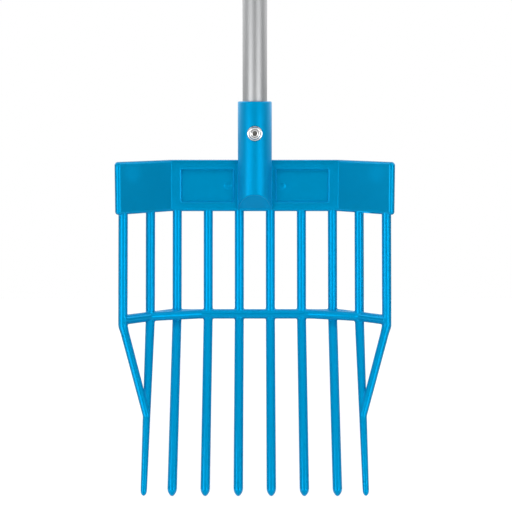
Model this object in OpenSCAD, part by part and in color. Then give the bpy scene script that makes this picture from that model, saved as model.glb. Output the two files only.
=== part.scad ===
// Manure fork: a one-piece moulded head with ten rods, bolted to an aluminium tube handle.
// Millimetres, +Z up along the handle, the scooping side faces -Y.
// The origin is the middle of the hanging hole in the handle's end cap.

/* [Handle] */
// Outer diameter of the handle tube
tube_d = 28; // [25:0.5:31]
// Wall of the handle tube
tube_wall = 1.5; // [1:0.1:3]
// Whole length of the handle tube
tube_len = 1100; // [700:10:1400]
// Length of the tube that sits inside the socket
tube_seat = 98; // [60:1:102]

/* [Socket] */
// Wall of the round socket
socket_wall = 5.3; // [4.5:0.1:8]
// Gap all round between the tube and the socket
socket_gap = 0.15; // [0.05:0.05:0.4]
// Rounding of the socket's mouth
mouth_round = 1.5; // [0.5:0.1:2.5]
// Height of the socket's mouth above the wall's top edge
socket_rise = 67; // [55:1:90]
// Slope of the faces that close the socket's lower end
socket_slope = 45; // [30:1:55]
// Height of the socket's lowest line above the wall's bottom edge
socket_foot = 1.7; // [0.5:0.1:6]

/* [Wall] */
// Height of the wall that the tines hang from
wall_h = 59.4; // [50:0.2:75]
// Thickness of the wall
wall_t = 8.5; // [7.5:0.1:10]
// Rounding along the wall's top edges
top_round = 3.5; // [1:0.1:3.5]
// Rounding along the wall's bottom edges
bottom_round = 2.5; // [1:0.1:3.5]
// Distance of the wall's front face behind the handle's axis
wall_setback = 1.3; // [0.5:0.1:4]
// Distance from the last centre tine to the fold between the wall and a wing
fold_margin = 7.6; // [7:0.1:14]
// Length of a wing, from the fold to the middle of its round end
wing_len = 71; // [68:0.2:88]
// Angle by which a wing turns towards the front
wing_angle = 39; // [25:1:45]

/* [Panels] */
// Depth of the two recessed panels
panel_depth = 1.6; // [0.8:0.1:3]
// Rounding of the panels' corners
panel_round = 1.5; // [0.5:0.1:4]
// Distance from the socket's side to a panel
panel_gap = 5.5; // [2:0.1:12]
// Distance from a panel to the fold
panel_end = 12.9; // [6:0.1:22]
// Distance from the wall's top edge to a panel
panel_top = 10.6; // [6:0.1:16]
// Distance from the wall's bottom edge to a panel
panel_bottom = 11.2; // [6:0.1:16]

/* [Tines] */
// Centre tines on each side of the handle
centre_tines = 3; // [2:1:4]
// Diameter of the tines
tine_d = 10.7; // [9:0.1:11]
// Distance between neighbouring centre tines
tine_pitch = 36; // [32:0.5:42]
// Distance of a tine's front behind the wall's front face
tine_inset = 0.2; // [0.1:0.1:1]
// Sideways lean of a rod that would hang from the fold, in degrees
tine_lean = 0.585; // [0:0.005:1.2]
// Height from the cross bar's axis to the wall's bottom edge
tine_run = 120.8; // [90:0.2:150]
// Length of a centre tine from the cross bar's axis to its point
tine_len = 212; // [160:1:260]
// Forward bend of the tines at the cross bar, in degrees
tine_bend = 25; // [10:1:32]
// Length of a centre tine's rounded point
point_len = 8.5; // [5.5:0.1:20]
// Height that a tine's tapered root runs up into the wall
root_h = 16; // [8:1:30]
// Diameter of the tapered root's upper end
root_d = 4.2; // [2:0.1:6]
// Place of the inner wing tine along the wing
wing_tine_inner = 27.3; // [22:0.1:32]
// Place of the outer wing rod along the wing
wing_tine_outer = 64.6; // [58:0.1:68]
// Length of an inner wing tine from the cross bar's axis to its point
wing_tine_len = 206.5; // [170:0.5:260]
// Diameter of an inner wing tine where its point starts
wing_point_d = 7.1; // [6:0.1:10]

/* [Cross bar] */
// Diameter of the cross bar
bar_d = 11.4; // [11.3:0.1:14]
// Diameter of the brace across the inside of each fold
brace_d = 11; // [9:0.1:11.2]
// Thickness of the web between the bar and a brace
web_t = 8; // [4:0.2:10]
// Height of the outer rod's bend below the cross bar's axis
strut_drop = 6.5; // [2:0.1:15]
// Distance along the inner wing tine to where the strut joins it
strut_join = 116; // [80:1:150]
// Diameter of the strut at the outer rod's bend
strut_d = 9.7; // [8:0.1:10.6]
// Diameter of the strut where it joins the tine
strut_end_d = 8.7; // [7:0.1:9.4]

/* [Fastener] */
// Distance of the bolt below the socket's mouth
bolt_drop = 36; // [25:1:50]
// Diameter of the bolt
bolt_d = 8; // [6:0.5:9]
// Gap all round between the bolt and its holes
bolt_gap = 0.2; // [0.1:0.05:0.5]
// Diameter of the bolt's flanged head
head_d = 17.4; // [16:0.1:20]
// Height of the bolt's head
head_h = 4.4; // [3.6:0.1:6]
// Thickness of the flange round the head
flange_t = 1.2; // [0.8:0.1:1.6]
// Diameter of the domed part of the head
dome_d = 14; // [12:0.1:15]
// Width across flats of the hexagon socket
hex_w = 5; // [4:0.1:6]
// Depth of the hexagon socket
hex_depth = 2.8; // [2:0.1:3.2]
// Width of the flat ring round the hexagon socket's corners
rim_w = 0.9; // [0.5:0.1:1.2]
// Gap round the head and the washer in their flat seats
seat_gap = 0.5; // [0.2:0.1:1]
// Depth of a flat seat where the socket's side is lowest round it
seat_depth = 0.3; // [0.1:0.1:0.8]
// Diameter of the washer behind the socket
washer_d = 16; // [15:0.1:18]
// Thickness of the washer
washer_t = 1.6; // [1:0.1:2.5]
// Width across flats of the lock nut
nut_w = 13; // [12.5:0.1:14]
// Height of the lock nut's hexagon
nut_h = 6.5; // [5:0.1:9]
// Diameter of the collar that holds the nut's plastic ring
collar_d = 12.2; // [12:0.1:12.4]
// Height of that collar
collar_h = 2.2; // [1.5:0.1:3]
// Thickness of the collar's side
collar_wall = 0.8; // [0.5:0.1:1]
// Gap between the bolt and the nut's thread, and round the plastic ring
thread_gap = 0.1; // [0.05:0.01:0.2]
// Length of bolt that stands out of the nut
bolt_tail = 2; // [1:0.5:6]
// Chamfer of the bolt's end
bolt_edge = 0.8; // [0.4:0.1:1.2]

/* [End cap] */
// Length of the cap's plug inside the tube
plug_len = 30; // [15:1:60]
// Gap all round between the plug and the tube
plug_gap = 0.15; // [0.05:0.05:0.4]
// Diameter of the cap's collar over the tube's end
cap_d = 30; // [29:0.5:34]
// Height of the cap's collar
cap_collar = 7; // [4:0.5:12]
// Distance of the hanging hole above the collar
hole_rise = 13; // [9:0.5:20]
// Diameter of the hanging hole
hole_d = 10; // [6:0.5:12]
// Thickness of the cap's eye at the hanging hole
eye_t = 16; // [10:0.5:20]
// Height of the rounded top above the hanging hole
eye_top = 14; // [10:0.5:20]
// Height above the collar at which the eye's flat sides start
flat_rise = 0.5; // [0.2:0.1:2]
// Chamfer of the cap's collar and of the plug's end
cap_edge = 1; // [0.4:0.1:1.5]

/* [Hidden] */
$fn = 72;
// Straight steps in a rounded edge
arc_steps = 6;
// How far a rounded corner stands proud of what meets in it
knuckle = 0.06;
// Spare length of a cutting tool past the face that it cuts
past = 1;

tube_r = tube_d / 2;
tine_r = tine_d / 2;
bar_r = bar_d / 2;
bore_r = tube_r + socket_gap;
socket_r = bore_r + socket_wall;

// Heights, counted from the socket's mouth
wall_top = -socket_rise;
wall_foot = wall_top - wall_h;
bar_z = wall_foot - tine_run;
socket_low = wall_foot + socket_foot;
tube_top = tube_len - tube_seat;
hole_z = tube_top + cap_collar + hole_rise;

// Plan of the wall and the line that the tines stand on
wall_front = wall_setback;
tine_y = wall_front + tine_inset + tine_r;
last_centre_x = (centre_tines - 0.5) * tine_pitch;
fold_x = last_centre_x + fold_margin;
wall_mid = wall_front + wall_t / 2;

// Flat seats cut into the round socket under the bolt's head and under the washer
head_seat_d = head_d + 2 * seat_gap;
washer_seat_d = washer_d + 2 * seat_gap;
head_seat_y = seat_depth - sqrt(pow(socket_r, 2) - pow(head_seat_d / 2, 2));
washer_seat_y = sqrt(pow(socket_r, 2) - pow(washer_seat_d / 2, 2)) - seat_depth;
nut_y = washer_seat_y + washer_t;
bolt_len = nut_y + nut_h + collar_h + bolt_tail - head_seat_y;
bolt_hole_d = bolt_d + 2 * bolt_gap;
thread_d = bolt_d + 2 * thread_gap;
ring_d = collar_d - 2 * collar_wall;

// Points of an arc about the middle c
function arc(c, r, from, to) =
    [for (i = [0 : arc_steps]) c + r * [cos(from + (to - from) * i / arc_steps),
                                        sin(from + (to - from) * i / arc_steps)]];

// Place in plan at a distance e along a wing and a distance b behind the wing's middle
function wing_point(e, b) = [
    fold_x + e * cos(wing_angle) + b * sin(wing_angle),
    wall_mid - e * sin(wing_angle) + b * cos(wing_angle)];

// Sideways lean of a rod that leaves the wall at x
function lean(x) = tine_lean * x / fold_x;

// Point at the height z on a rod that leaves the wall at the plan point p
function on_rod(p, z) = [p.x + (wall_foot - z) * tan(lean(p.x)), p.y, z];

// Point on a bent tine, at a distance t below the cross bar's axis
function on_tine(p, t) =
    on_rod(p, bar_z)
    + t * [cos(tine_bend) * sin(lean(p.x)), -sin(tine_bend), -cos(tine_bend) * cos(lean(p.x))];

// Plan points of one side's rods, from the middle outwards
centre_plan = [for (i = [0 : centre_tines - 1]) [(i + 0.5) * tine_pitch, tine_y]];
inner_plan = wing_point(wing_tine_inner, tine_y - wall_mid);
outer_plan = wing_point(wing_tine_outer, tine_y - wall_mid);
brace_plan = centre_plan[centre_tines - 2];
bar_corner_plan = [fold_x + (tine_y - wall_mid) * tan(wing_angle / 2), tine_y];

module both_sides() {
    children();
    mirror([1, 0, 0])
        children();
}

// Stands its children, drawn up the z axis, on the point p and turns them towards q
module along(p, q) {
    d = q - p;
    translate(p)
        rotate([0, acos(d.z / norm(d)), atan2(d.y, d.x)])
            children();
}

// A round rod from p to q
module rod(p, q, r_p, r_q) {
    along(p, q)
        cylinder(h = norm(q - p), r1 = r_p, r2 = r_q);
}

// Cross-section of the wall: thickness along x, height along y, all four edges rounded
module wall_section() {
    polygon(concat(
        arc([bottom_round, bottom_round], bottom_round, 180, 270),
        arc([wall_t - bottom_round, bottom_round], bottom_round, 270, 360),
        arc([wall_t - top_round, wall_h - top_round], top_round, 0, 90),
        arc([top_round, wall_h - top_round], top_round, 90, 180)));
}

// A round post of the wall's own cross-section, for a fold or a wing's end
module wall_post(p) {
    post_r = wall_t / 2 + knuckle;
    post_h = wall_h + knuckle;
    translate([p.x, p.y, wall_foot])
        rotate_extrude()
            polygon(concat(
                [[0, -knuckle]],
                arc([post_r - bottom_round, bottom_round - knuckle], bottom_round, 270, 360),
                arc([post_r - top_round, post_h - top_round], top_round, 0, 90),
                [[0, post_h]]));
}

// The wall: a straight middle and two wings folded forwards, with round folds and ends
module wall() {
    translate([-fold_x, wall_front, wall_foot])
        rotate([90, 0, 90])
            linear_extrude(2 * fold_x)
                wall_section();
    both_sides() {
        wall_post([fold_x, wall_mid]);
        translate([fold_x, wall_mid, wall_foot])
            rotate(-wing_angle)
                translate([0, -wall_t / 2, 0])
                    rotate([90, 0, 90])
                        linear_extrude(wing_len)
                            wall_section();
        wall_post(wing_point(wing_len, 0));
    }
}

// The round socket, closed below by two sloping faces that meet under its middle
module socket() {
    rise = socket_r * tan(socket_slope);
    intersection() {
        translate([0, 0, wall_foot])
            rotate_extrude()
                polygon(concat(
                    [[0, 0], [socket_r, 0]],
                    arc([socket_r - mouth_round, -wall_foot - mouth_round], mouth_round, 0, 90),
                    [[0, -wall_foot]]));
        translate([-socket_r - past, 0, 0])
            rotate([90, 0, 90])
                linear_extrude(2 * (socket_r + past))
                    polygon([
                        [0, socket_low],
                        [2 * socket_r, socket_low + 2 * rise],
                        [2 * socket_r, past],
                        [-2 * socket_r, past],
                        [-2 * socket_r, socket_low + 2 * rise]]);
    }
}

// What the socket is bored and cut for: the tube, the bolt and the two flat seats
module socket_cuts() {
    translate([0, 0, -tube_seat])
        cylinder(h = tube_seat + past, r = bore_r);
    translate([0, 0, -bolt_drop])
        rotate([90, 0, 0]) {
            cylinder(h = 2 * (socket_r + past), d = bolt_hole_d, center = true);
            translate([0, 0, -head_seat_y])
                cylinder(h = socket_r, d = head_seat_d);
            translate([0, 0, -washer_seat_y - socket_r])
                cylinder(h = socket_r, d = washer_seat_d);
        }
}

// A recessed panel in the wall's front, between the socket and a fold
module panel_cut() {
    left = socket_r + panel_gap;
    right = fold_x - panel_end;
    low = wall_foot + panel_bottom;
    high = wall_top - panel_top;
    translate([0, wall_front + panel_depth, 0])
        rotate([90, 0, 0])
            linear_extrude(panel_depth + past)
                polygon(concat(
                    arc([left + panel_round, low + panel_round], panel_round, 180, 270),
                    arc([right - panel_round, low + panel_round], panel_round, 270, 360),
                    arc([right - panel_round, high - panel_round], panel_round, 0, 90),
                    arc([left + panel_round, high - panel_round], panel_round, 90, 180)));
}

// A rod from the height z up to its tapered root inside the wall
module hanging_rod(p, z) {
    low = on_rod(p, z);
    shoulder = on_rod(p, wall_foot + bottom_round);
    straight = norm(shoulder - low);
    along(low, shoulder)
        rotate_extrude()
            polygon([
                [0, 0],
                [tine_r, 0],
                [tine_r, straight],
                [root_d / 2, straight + root_h],
                [0, straight + root_h]]);
}

// The bent part of a tine, from the cross bar to its rounded point
module bent_tine(p, length, point_d) {
    point_r = point_d / 2;
    point_h = point_len * point_d / tine_d;
    translate(on_rod(p, bar_z))
        rotate([-tine_bend, -lean(p.x), 0])
            rotate_extrude()
                polygon(concat(
                    [[0, 0], [0, -length]],
                    [for (i = [1 : arc_steps])
                        let (a = 90 * (1 - i / arc_steps))
                            [point_r * cos(a), point_h * (1 - sin(a)) - length]],
                    [[tine_r, 0]]));
}

// The rods of one side: straight from the wall to the cross bar, then bent forwards
module side_tines() {
    for (p = centre_plan) {
        hanging_rod(p, bar_z);
        bent_tine(p, tine_len, tine_d);
    }
    hanging_rod(inner_plan, bar_z);
    bent_tine(inner_plan, wing_tine_len, wing_point_d);
    hanging_rod(outer_plan, bar_z - strut_drop);
}

// The outer rod's lower end, which slants in to the inner wing tine
module side_strut() {
    bend = on_rod(outer_plan, bar_z - strut_drop);
    join = on_tine(inner_plan, strut_join);
    translate(bend)
        sphere(r = tine_r + knuckle);
    rod(bend, join, strut_d / 2, strut_end_d / 2);
    translate(join)
        sphere(r = strut_end_d / 2 + knuckle);
}

// Half of the cross bar, which follows the wall's plan from the middle to the outer rod
module side_bar() {
    corner = on_rod(bar_corner_plan, bar_z);
    rod([0, corner.y, corner.z], corner, bar_r, bar_r);
    translate(corner)
        sphere(r = bar_r + knuckle);
    rod(corner, on_rod(outer_plan, bar_z), bar_r, bar_r);
}

// A straight brace across the inside of a fold, with a web behind it
module corner_brace() {
    inner = on_rod(brace_plan, bar_z);
    corner = on_rod(bar_corner_plan, bar_z);
    outer = on_rod(inner_plan, bar_z);
    rod(inner, outer, brace_d / 2, brace_d / 2);
    translate([0, 0, bar_z - web_t / 2])
        linear_extrude(web_t)
            polygon([[inner.x, inner.y], [outer.x, outer.y], [corner.x, corner.y]]);
}

module fork_head() {
    color("#0a93d2")
        difference() {
            union() {
                wall();
                socket();
                both_sides() {
                    side_bar();
                    corner_brace();
                    side_tines();
                    side_strut();
                }
            }
            socket_cuts();
            both_sides()
                panel_cut();
        }
}

module handle_tube() {
    color("#b8b6b3")
        difference() {
            translate([0, 0, -tube_seat])
                cylinder(h = tube_len, r = tube_r);
            translate([0, 0, -tube_seat - past])
                cylinder(h = tube_len + 2 * past, r = tube_r - tube_wall);
            translate([0, 0, -bolt_drop])
                rotate([90, 0, 0])
                    cylinder(h = tube_d + 2 * past, d = bolt_hole_d, center = true);
        }
}

// A plug with a collar over the tube's end and a flat-sided eye for hanging the fork up
module end_cap() {
    plug_r = tube_r - tube_wall - plug_gap;
    eye_r = cap_d / 2 - cap_edge;
    eye_h = hole_rise + eye_top;
    color("#26282b")
        translate([0, 0, tube_top])
            difference() {
                rotate_extrude()
                    polygon(concat(
                        [[0, -plug_len], [plug_r - cap_edge, -plug_len], [plug_r, cap_edge - plug_len]],
                        [[plug_r, 0], [cap_d / 2, 0]],
                        [[cap_d / 2, cap_collar - cap_edge], [eye_r, cap_collar]],
                        [for (i = [0 : arc_steps - 1])
                            let (a = 90 * i / arc_steps)
                                [eye_r * cos(a), cap_collar + hole_rise + eye_top * sin(a)]],
                        [[0, cap_collar + eye_h]]));
                for (side = [-1, 1])
                    translate([0, side * (eye_t + cap_d) / 2, cap_collar + flat_rise + eye_h / 2])
                        cube([2 * cap_d, cap_d, eye_h], center = true);
                translate([0, 0, cap_collar + hole_rise])
                    rotate([90, 0, 0])
                        cylinder(h = cap_d, d = hole_d, center = true);
            }
}

// A bolt with a domed, flanged head and a hexagon socket, pointing to the back
module bolt() {
    hex_corner_d = hex_w / cos(30);
    dome_r = dome_d / 2;
    dome_h = head_h - flange_t;
    rim_r = hex_corner_d / 2 + rim_w;
    color("#d9dadb")
        translate([0, head_seat_y, -bolt_drop])
            rotate([-90, 0, 0])
                difference() {
                    rotate_extrude()
                        polygon(concat(
                            [[0, bolt_len], [bolt_d / 2 - bolt_edge, bolt_len]],
                            [[bolt_d / 2, bolt_len - bolt_edge], [bolt_d / 2, 0]],
                            [[head_d / 2, 0], [head_d / 2, -flange_t / 2]],
                            [for (i = [0 : arc_steps])
                                let (a = 90 * i / arc_steps)
                                    [rim_r + (dome_r - rim_r) * cos(a), -flange_t - dome_h * sin(a)]],
                            [[0, -head_h]]));
                    translate([0, 0, -head_h - past])
                        cylinder(h = hex_depth + past, d = hex_corner_d, $fn = 6);
                }
}

module rear_washer() {
    color("#c9cacb")
        translate([0, washer_seat_y, -bolt_drop])
            rotate([-90, 0, 0])
                difference() {
                    cylinder(h = washer_t, d = washer_d);
                    translate([0, 0, -past])
                        cylinder(h = washer_t + 2 * past, d = bolt_hole_d);
                }
}

module lock_nut() {
    corner_d = nut_w / cos(30);
    color("#c9cacb")
        translate([0, nut_y, -bolt_drop])
            rotate([-90, 0, 0])
                difference() {
                    union() {
                        cylinder(h = nut_h, d = corner_d, $fn = 6);
                        cylinder(h = nut_h + collar_h, d = collar_d);
                    }
                    translate([0, 0, -past])
                        cylinder(h = nut_h + collar_h + 2 * past, d = thread_d);
                    translate([0, 0, nut_h])
                        cylinder(h = collar_h + past, d = ring_d);
                }
}

module nut_ring() {
    color("#2b62b0")
        translate([0, nut_y + nut_h, -bolt_drop])
            rotate([-90, 0, 0])
                difference() {
                    cylinder(h = collar_h, d = ring_d - 2 * thread_gap);
                    translate([0, 0, -past])
                        cylinder(h = collar_h + 2 * past, d = thread_d);
                }
}

// Everything hangs below the hanging hole, which is the origin
module hung() {
    translate([0, 0, -hole_z])
        children();
}

hung() fork_head();
hung() handle_tube();
hung() end_cap();
hung() bolt();
hung() rear_washer();
hung() lock_nut();
hung() nut_ring();
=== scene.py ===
# %% [markdown]
# # Manure fork
# A moulded plastic head with ten rods, bolted to an aluminium tube. The solids come in first as a fixed
# frame. Every piece below is then modelled over its solid, in the same place and to the same size, and takes
# its place in the picture. The box of the solids is kept, and the floor is set at its bottom.

# %% Load the frame
import math

import bmesh
import bpy
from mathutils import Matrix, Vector


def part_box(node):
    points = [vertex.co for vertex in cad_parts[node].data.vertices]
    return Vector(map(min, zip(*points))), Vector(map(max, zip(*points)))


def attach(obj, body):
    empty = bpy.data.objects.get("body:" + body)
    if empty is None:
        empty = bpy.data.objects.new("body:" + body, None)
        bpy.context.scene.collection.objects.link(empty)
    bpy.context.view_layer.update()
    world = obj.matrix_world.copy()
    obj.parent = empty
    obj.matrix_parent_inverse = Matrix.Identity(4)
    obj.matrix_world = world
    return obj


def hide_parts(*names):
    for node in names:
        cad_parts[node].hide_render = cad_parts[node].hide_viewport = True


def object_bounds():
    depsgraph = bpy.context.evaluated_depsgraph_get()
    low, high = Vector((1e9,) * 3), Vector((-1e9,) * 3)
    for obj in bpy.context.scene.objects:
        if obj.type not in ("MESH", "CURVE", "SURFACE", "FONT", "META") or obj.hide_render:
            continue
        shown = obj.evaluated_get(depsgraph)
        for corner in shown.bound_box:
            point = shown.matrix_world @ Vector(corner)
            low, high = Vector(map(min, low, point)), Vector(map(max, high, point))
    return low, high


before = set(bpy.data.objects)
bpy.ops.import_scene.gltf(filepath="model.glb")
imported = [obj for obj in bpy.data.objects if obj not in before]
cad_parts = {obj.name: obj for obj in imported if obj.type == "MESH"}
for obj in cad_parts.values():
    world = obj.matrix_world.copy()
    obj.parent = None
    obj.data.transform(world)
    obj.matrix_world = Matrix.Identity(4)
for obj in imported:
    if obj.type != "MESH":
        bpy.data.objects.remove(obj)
cad_low, cad_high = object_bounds()
bpy.ops.object.select_all(action="DESELECT")
print("solids:", sorted(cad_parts), "from", tuple(cad_low), "to", tuple(cad_high))

# %% [markdown]
# ## Measures
# The head is measured in millimetres from the middle of its socket's mouth, because that is how one would
# measure the real tool: so far down the socket, so far to the side. Metres in the shared frame would do as
# well, but they are hard to check with a ruler. `at` turns a measure into metres in the shared frame.

# %% Measures
MM = 0.001
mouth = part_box("fork_head")[1].z


def at(x, y, z):
    return Vector((x * MM, y * MM, mouth + z * MM))


print("the socket's mouth is at", round(mouth, 4), "m")

# %% [markdown]
# ## The wall
# The wall is a thick strip of plastic that folds forwards at both sides. A profile could be swept along a
# curve, but a cube is closer to how it looks: one half is a cube whose end face leans to the fold's own
# plane. A new primitive is selected all over, so `open_piece` puts its place into its mesh, names it and
# opens edit mode. `pick` then chooses vertices, edges or faces by a test on their place, as one would click
# them by hand.

# %% Straight half of the wall
wall_top, wall_foot = -67.0, -126.4
wall_front, wall_back = 1.3, 9.8
wall_mid, half_t = (wall_front + wall_back) / 2, (wall_back - wall_front) / 2
fold, wing, wing_turn = 97.6, 71.0, math.radians(39)


def open_piece(name):
    piece = bpy.context.object
    piece.name = piece.data.name = name
    bpy.ops.object.transform_apply(location=True, rotation=True, scale=True)
    bpy.ops.object.mode_set(mode="EDIT")
    return piece


def pick(piece, kind, test):
    mode = {"verts": "VERT", "edges": "EDGE", "faces": "FACE"}[kind]
    bpy.ops.mesh.select_mode(type=mode)
    bpy.ops.mesh.select_all(action="DESELECT")
    mesh = bmesh.from_edit_mesh(piece.data)
    for part in getattr(mesh, kind):
        part.select_set(test(part))
    bmesh.update_edit_mesh(piece.data)


bpy.ops.mesh.primitive_cube_add(
    size=1,
    location=at(fold / 2, wall_mid, (wall_top + wall_foot) / 2),
    scale=(fold * MM, 2 * half_t * MM, (wall_top - wall_foot) * MM),
)
wall = open_piece("wall")
lean = half_t * math.tan(wing_turn / 2) * MM
for way in (-1, 1):
    pick(wall, "verts", lambda v: v.co.x > fold / 2 * MM and (v.co.y - wall_mid * MM) * way > 0)
    bpy.ops.transform.translate(value=(way * lean, 0, 0))
print("half of the wall is", fold, "mm wide, and its end leans by", round(lean / MM, 2), "mm each way")

# %% [markdown]
# ## The wings
# Each wing is the same strip after the fold, turned forwards by 39 degrees. It could be a second cube, but
# then the two would have to be joined. The leaning end face is extruded along the wing instead, so the fold
# stays one clean edge. The far end is then set square to the wing, and the face in the middle of the fork
# goes, for the mirror.

# %% Wing
along_wing = Vector((math.cos(wing_turn), -math.sin(wing_turn), 0))
front_of_wing = Vector((-math.sin(wing_turn), -math.cos(wing_turn), 0))
pick(wall, "faces", lambda f: f.normal.x > 0.8)
bpy.ops.mesh.extrude_region_move(TRANSFORM_OT_translate={"value": along_wing * (wing + half_t) * MM})
tip = at(fold, wall_mid, 0) + along_wing * wing * MM


def past_tip(point, way):
    return (point - tip).dot(along_wing) > 0 and (point - tip).dot(front_of_wing) * way > 0


for way in (1, -1):
    pick(wall, "verts", lambda v: past_tip(v.co, way))
    bpy.ops.transform.translate(value=along_wing * -way * lean)
pick(wall, "faces", lambda f: f.normal.x < -0.9)
bpy.ops.mesh.delete(type="FACE")
bpy.ops.object.mode_set(mode="OBJECT")
print("the wing's tip is at", [round(v / MM, 1) for v in tip.xy], "mm")

# %% [markdown]
# ## The other half
# The real head is the same on both sides. A copy could be scaled by minus one, but its faces would then point
# inwards. A Mirror modifier turns them the right way, and its clipping joins the two halves in the middle.

# %% Mirror the wall
def select_only(piece):
    bpy.ops.object.select_all(action="DESELECT")
    piece.select_set(True)
    bpy.context.view_layer.objects.active = piece


def apply_all(piece):
    select_only(piece)
    for modifier in list(piece.modifiers):
        bpy.ops.object.modifier_apply(modifier=modifier.name)


wall.modifiers.new("other half", "MIRROR").use_clip = True
apply_all(wall)
print("the whole wall has", len(wall.data.polygons), "faces")

# %% [markdown]
# ## Choosing edges
# The next steps round the wall's edges. One could click the edges one by one, but a plain test still finds
# them after a change of size: is the edge upright, is it level with a given height, is it sharp?
# `round_edges` picks the edges that pass a test and bevels them. `close_piece` merges doubles and turns all
# faces outwards.

# %% Choose and round edges
touching = 0.01 * MM


def along(edge):
    return (edge.verts[0].co - edge.verts[1].co).normalized()


def upright(edge):
    return abs(along(edge).z) > 0.99


def middle(edge):
    return (edge.verts[0].co + edge.verts[1].co) / 2


def level(edge, z):
    return all(abs(v.co.z - mouth - z * MM) < touching for v in edge.verts)


def sharp(edge, least=1.0):
    return edge.calc_face_angle(0) > least


def round_edges(piece, test, size, segments):
    pick(piece, "edges", test)
    bpy.ops.mesh.bevel(offset=size * MM, segments=segments, affect="EDGES")


def close_piece(piece):
    bpy.ops.mesh.select_all(action="SELECT")
    bpy.ops.mesh.remove_doubles(threshold=touching)
    bpy.ops.mesh.normals_make_consistent(inside=False)
    bpy.ops.object.mode_set(mode="OBJECT")
    print(piece.name, len(piece.data.polygons), "faces")


bpy.ops.object.mode_set(mode="EDIT")
print("upright edges of the wall:", sum(upright(e) for e in bmesh.from_edit_mesh(wall.data).edges))

# %% [markdown]
# ## Round ends and edges
# A mould leaves no sharp edges: the wings' ends are fully round and the long edges are soft. A Bevel modifier
# could do it all at once, but each kind of edge has its own radius here, so the operator rounds one kind at a
# time.

# %% Round the wall's ends and edges
top_round, foot_round, fold_round, end_round = 3.7, 3.2, 0.4, 0.98 * half_t


def at_fold(edge):
    return upright(edge) and 90 * MM < abs(middle(edge).x) < 100 * MM


round_edges(wall, lambda e: upright(e) and abs(middle(e).x) > tip.x - 4 * MM, end_round, 10)
round_edges(wall, lambda e: level(e, wall_top) and sharp(e), top_round, 8)
round_edges(wall, lambda e: level(e, wall_foot) and sharp(e), foot_round, 6)
round_edges(wall, lambda e: at_fold(e) and sharp(e, 0.5), fold_round, 3)
close_piece(wall)

# %% [markdown]
# ## The crisp top edge
# Between the folds the wall's top edge is crisper than on the wings. A second bevel size could end at the
# folds, but bevels of two sizes meet badly on one edge. A slim bar with a small bevel fills the rounding up
# instead, and a Boolean makes one solid of both.

# %% Crisp top edge
ridge_half, ridge_tall, ridge_round, ridge_slack = 95.8, 6, 1.3, 0.04


def cut(piece, tool, operation="DIFFERENCE"):
    boolean = piece.modifiers.new("cut", "BOOLEAN")
    boolean.object = tool
    boolean.operation = operation
    boolean.solver = "EXACT"
    apply_all(piece)
    print(piece.name, len(piece.data.polygons), "faces after", operation.lower(), "with", tool.name)
    bpy.data.objects.remove(tool)


bpy.ops.mesh.primitive_cube_add(
    size=1,
    location=at(0, wall_mid, wall_top - ridge_tall / 2),
    scale=(2 * ridge_half * MM, (2 * half_t - ridge_slack) * MM, ridge_tall * MM),
)
ridge = open_piece("crisp top edge")
round_edges(ridge, lambda e: level(e, wall_top) and abs(along(e).x) > 0.99, ridge_round, 4)
close_piece(ridge)
cut(wall, ridge, "UNION")

# %% [markdown]
# ## The socket
# The socket is a plain round boss that takes the handle. Two sloping faces close its lower end, which gives
# the arch in front of the wall. It could be turned and then trimmed with Booleans, but two bisects of a
# cylinder leave fewer faces. A small inset sinks the arch's face. A Boolean joins it to the wall, as both are
# clean closed shapes.

# %% Socket
socket_r, socket_low = 19.45, -124.7
mouth_round, arch_round, arch_lip, arch_sink, arch_area = 1.5, 0.7, 1.0, 0.7, 100 * MM**2
bpy.ops.mesh.primitive_cylinder_add(
    vertices=128, radius=socket_r * MM, depth=-wall_foot * MM, location=at(0, 0, wall_foot / 2)
)
socket = open_piece("socket")
for way in (-1, 1):
    bpy.ops.mesh.select_all(action="SELECT")
    bpy.ops.mesh.bisect(
        plane_co=at(0, 0, socket_low), plane_no=(0, way, -1), use_fill=True, clear_outer=True
    )
round_edges(socket, lambda e: level(e, 0), mouth_round, 5)
round_edges(socket, lambda e: sharp(e, 0.6) and middle(e).z < mouth - 100 * MM, arch_round, 4)
pick(socket, "faces", lambda f: f.normal.y < -0.6 and f.normal.z < -0.6 and f.calc_area() > arch_area)
bpy.ops.mesh.inset(thickness=arch_lip * MM, depth=-arch_sink * MM)
close_piece(socket)
cut(wall, socket, "UNION")

# %% [markdown]
# ## Bore, bolt hole and seats
# The tube goes into a bore, the bolt goes across it, and the bolt's head and the washer each sit on a flat.
# In the mould these are pins. Faces could be deleted and bridged by hand, but a cylinder that a Boolean takes
# away keeps the walls closed. `drill` does that for every round hole of the fork.

# %% Bore, bolt hole and seats
head_seat, washer_seat, bolt_z = -16.837, 17.196, -36.0
bore_r, bore_depth, bore_past = 14.15, 98.0, 2
bolt_hole_r, head_seat_r, washer_seat_r, seat_depth, right_through = 4.2, 8.85, 8.5, 20, 60
facing_back, facing_up = (math.radians(-90), 0, 0), (0, 0, 0)


def drill(piece, radius, depth, place, turn=facing_back, sides=64, name="drill", operation="DIFFERENCE"):
    bpy.ops.mesh.primitive_cylinder_add(
        vertices=sides, radius=radius * MM, depth=depth * MM, location=place, rotation=turn
    )
    tool = open_piece(name)
    close_piece(tool)
    cut(piece, tool, operation)


drill(wall, bore_r, bore_depth + bore_past, at(0, 0, (bore_past - bore_depth) / 2), facing_up, sides=96)
drill(wall, bolt_hole_r, right_through, at(0, 0, bolt_z), sides=96)
drill(wall, head_seat_r, seat_depth, at(0, head_seat - seat_depth / 2, bolt_z), sides=96)
drill(wall, washer_seat_r, seat_depth, at(0, washer_seat + seat_depth / 2, bolt_z), sides=96)

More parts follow.
